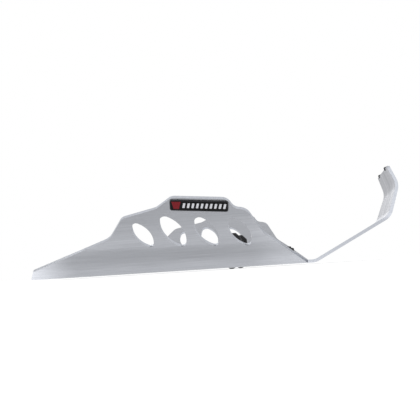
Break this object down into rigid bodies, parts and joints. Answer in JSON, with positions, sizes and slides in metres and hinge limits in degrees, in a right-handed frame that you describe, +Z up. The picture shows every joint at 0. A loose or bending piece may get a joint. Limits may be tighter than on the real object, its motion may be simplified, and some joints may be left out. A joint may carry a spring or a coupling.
{
  "type": "motorcycle skid plate",
  "caption": "Folded aluminium skid plate for a motorcycle, with slotted side wings, an upturned nose, rubber buffers and rubber-bushed hanger brackets.",
  "frame": {"origin": "middle of the flat floor, on its underside", "axes": "+X to the front of the motorcycle, +Z up, -Y its right-hand side, which carries the badge"},
  "size_m": [0.4768, 0.3846, 0.1206],
  "materials": {
    "aluminium": "brushed lengthwise",
    "badge_black": "gloss",
    "badge_red": "gloss print",
    "badge_light": "gloss print",
    "rubber": "moulded, matt",
    "black_steel": "powder coated, fine grain",
    "screw_steel": "black zinc",
    "zinc_steel": "bright zinc"
  },
  "bodies": {
    "root": {"guard_plate": "aluminium", "badge_plate": "badge_black", "badge_emblem": "badge_red", "badge_bars": "badge_light", "lip_buffers": "rubber", "floor_buffers": "rubber", "buffer_inserts": "zinc_steel", "buffer_screws": "screw_steel", "hanger_brackets": "black_steel", "bracket_bushes": "rubber", "bush_sleeves": "zinc_steel", "bracket_screws": "screw_steel", "bracket_washers": "zinc_steel", "bracket_nuts": "zinc_steel"}
  },
  "joints": []
}
